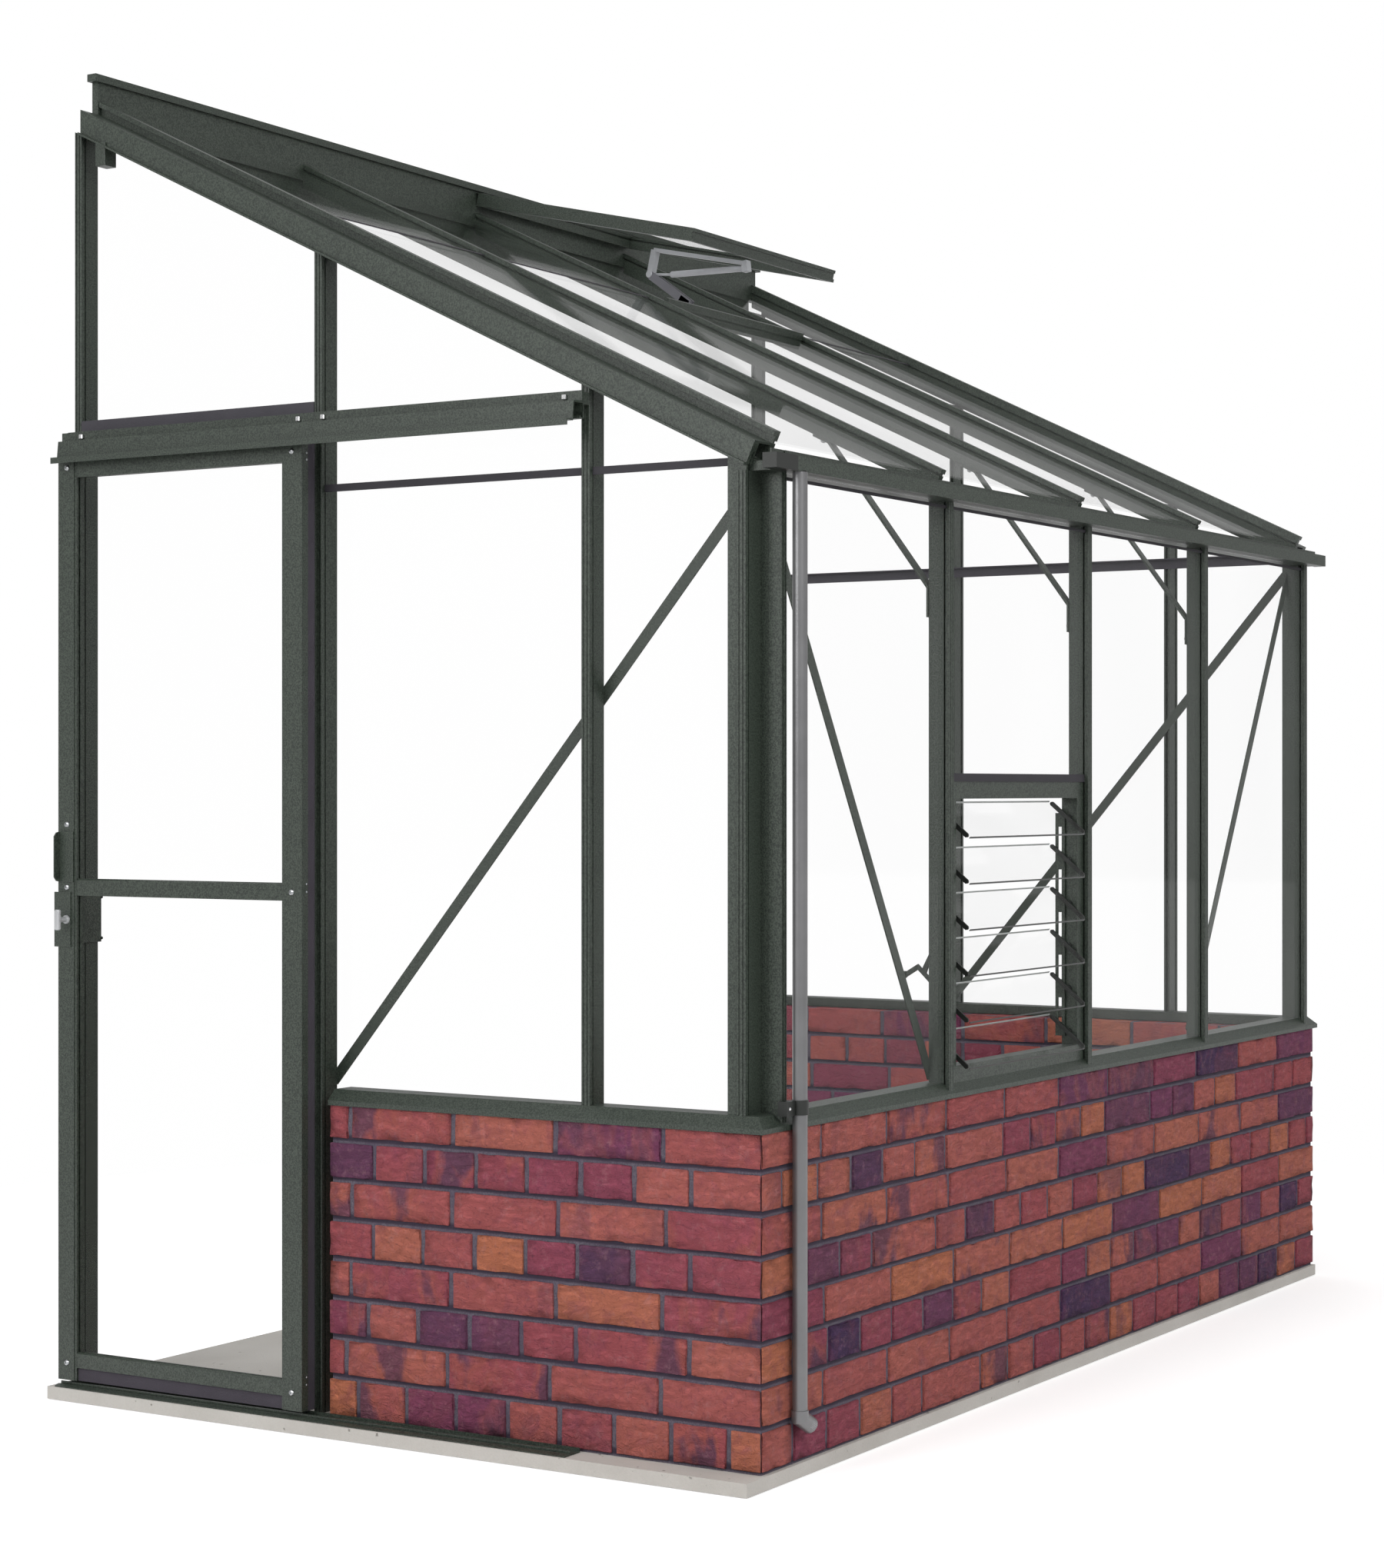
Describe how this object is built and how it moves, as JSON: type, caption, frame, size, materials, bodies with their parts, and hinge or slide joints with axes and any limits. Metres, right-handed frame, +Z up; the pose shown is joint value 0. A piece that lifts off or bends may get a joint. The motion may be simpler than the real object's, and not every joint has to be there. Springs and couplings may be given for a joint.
{
  "type": "lean-to glass greenhouse",
  "caption": "Lean-to glass greenhouse on a brick dwarf wall, with a sliding door, roof vent, louvre window, gutter and downpipe.",
  "frame": {"origin": "centre of the slab's underside, on the ground", "axes": "+X along the eaves away from the door end, +Y back towards the house wall, +Z up"},
  "size_m": [2.7045, 1.688, 2.678],
  "materials": {
    "frame_green": "dark green powder coat with a fine speckle",
    "brick": "fired clay brick in reds, salmon and plum with grey mortar",
    "concrete": "smooth cast concrete",
    "pane": "clear glass, 4 mm",
    "seal": "matt dark grey rubber",
    "bristle": "grey nylon brush pile",
    "dark_strip": "dark grey textured coat",
    "opener_metal": "dark coated metal",
    "moulding": "black moulded plastic",
    "pipe": "plain grey coat",
    "wheel": "grey moulded plastic and steel"
  },
  "bodies": {
    "root": {"door_jambs": "frame_green", "door_post": "frame_green", "door_side_glass": "pane", "door_side_post": "frame_green", "door_side_rear_post": "frame_green", "door_side_sill": "frame_green", "door_side_wall": "brick", "door_transom": "dark_strip", "downpipe": "pipe", "downpipe_clip": "moulding", "downpipe_elbow": "pipe", "eaves_beam": "frame_green", "far_side_glass": "pane", "far_side_posts": "frame_green", "far_side_sill": "frame_green", "far_side_tie": "dark_strip", "far_side_wall": "brick", "floor_slab": "concrete", "floor_track": "frame_green", "front_braces": "frame_green", "front_glass": "pane", "front_posts": "frame_green", "front_sill": "frame_green", "front_wall": "brick", "glass_joint_strips": "seal", "gutter": "frame_green", "gutter_floor": "frame_green", "gutter_outlet": "moulding", "header_brackets": "frame_green", "header_track": "frame_green", "knee_braces": "frame_green", "left_corner_post": "frame_green", "left_rafter": "frame_green", "louvre_blades": "pane", "louvre_clips": "moulding", "louvre_frame": "frame_green", "louvre_head_strip": "seal", "louvre_lever": "frame_green", "louvre_link": "frame_green", "ridge_beam": "frame_green", "right_corner_post": "frame_green", "right_rafter": "frame_green", "roof_bars": "frame_green", "roof_glass": "pane", "side_braces": "frame_green", "vent_frame": "frame_green", "vent_glass": "pane", "vent_hinge": "frame_green", "vent_opener": "opener_metal", "vent_sill": "frame_green"},
    "door": {"door_left_stile": "frame_green", "door_right_stile": "frame_green", "door_top_rail": "frame_green", "door_mid_rail": "frame_green", "door_bottom_rail": "frame_green", "door_brush": "bristle", "door_glass": "pane", "door_hangers": "wheel", "door_handle": "frame_green", "door_lock": "frame_green"}
  },
  "joints": [
    {"name": "door_slide", "type": "slide", "parent": "root", "child": "door", "axis": [0, -1, 0], "range_m": [0, 0.6]}
  ]
}
